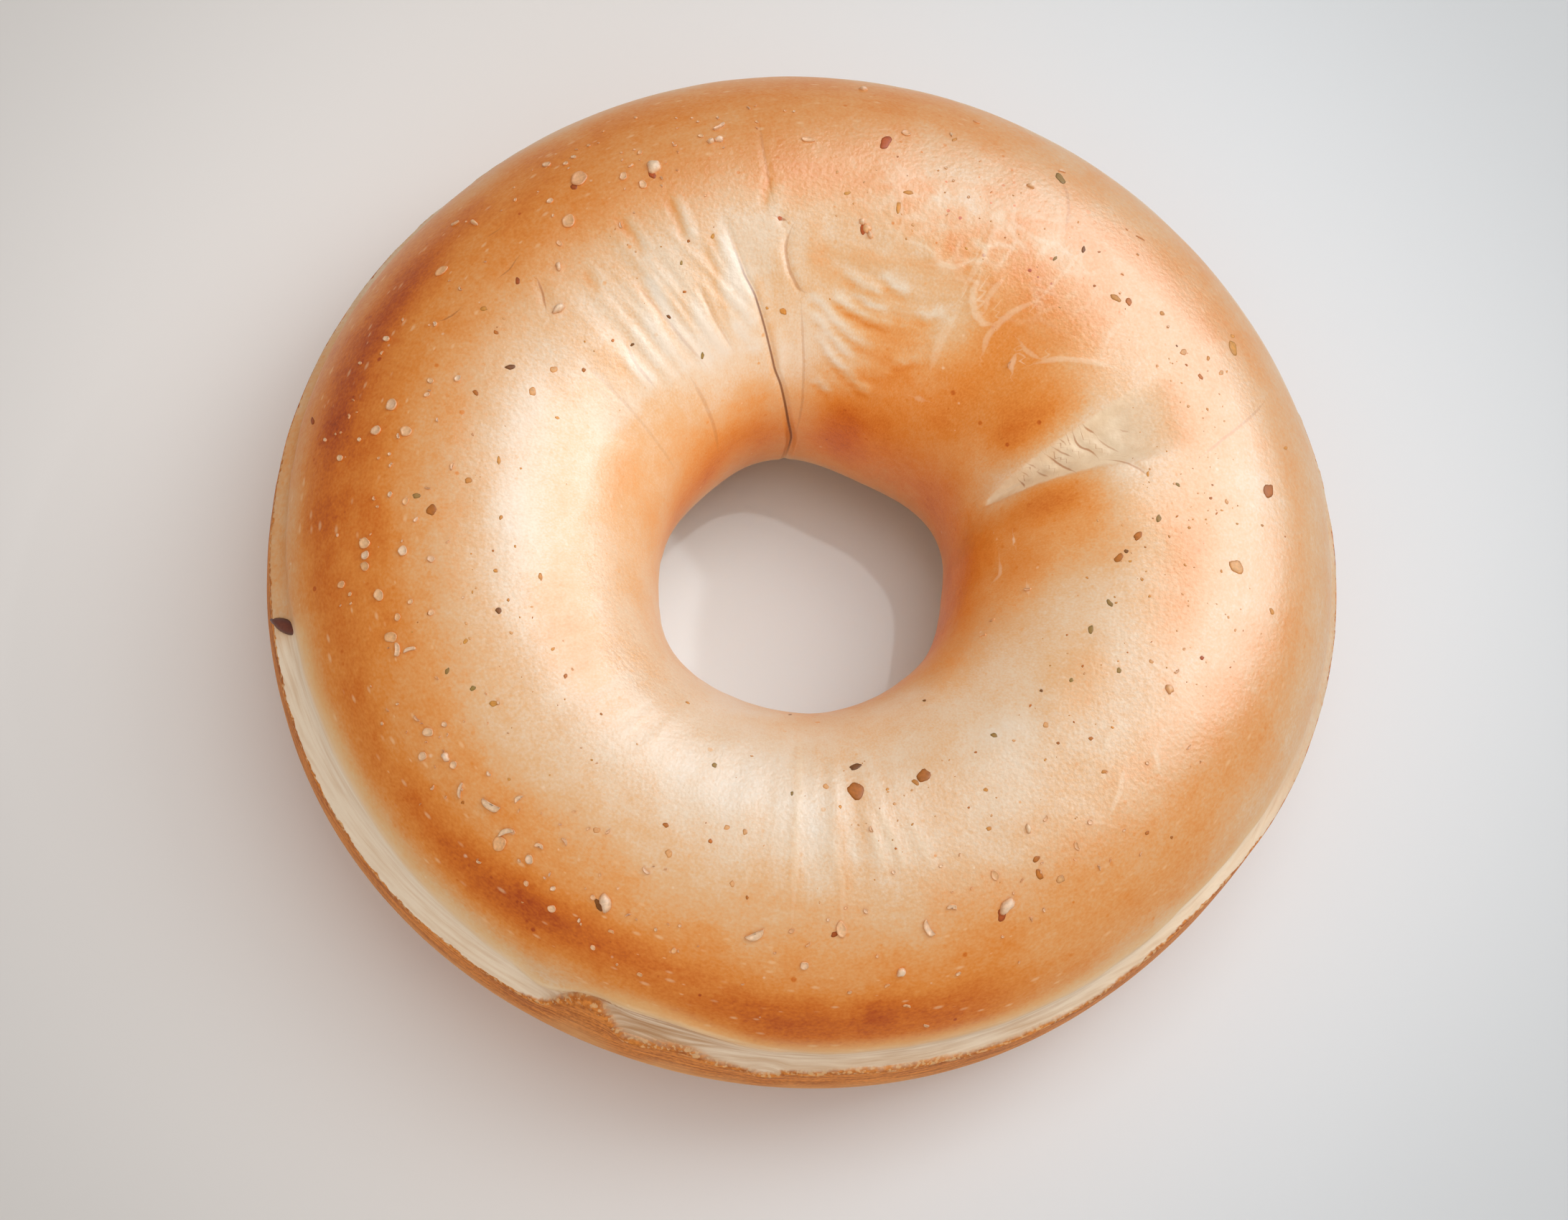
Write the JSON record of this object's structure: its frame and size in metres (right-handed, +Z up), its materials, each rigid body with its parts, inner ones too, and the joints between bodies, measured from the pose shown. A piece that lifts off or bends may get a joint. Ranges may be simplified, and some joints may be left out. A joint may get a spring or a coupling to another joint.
{
  "type": "plain bagel",
  "caption": "Whole baked ring of bread with a browned crust, a torn pale waist, a joining seam and flakes on the crust.",
  "frame": {"origin": "middle of the plan at the resting surface, under the hole", "axes": "+Z up out of the flat base; +Y towards the back of the ring, where the seam of the dough is; +X to the right, where the fold is"},
  "size_m": [0.1108, 0.1086, 0.0363],
  "materials": {
    "crust": "stands for baked bread crust: golden to brown, satin, with pale unbaked patches and a cream waist"
  },
  "bodies": {
    "root": {"bagel": "crust"}
  },
  "joints": []
}
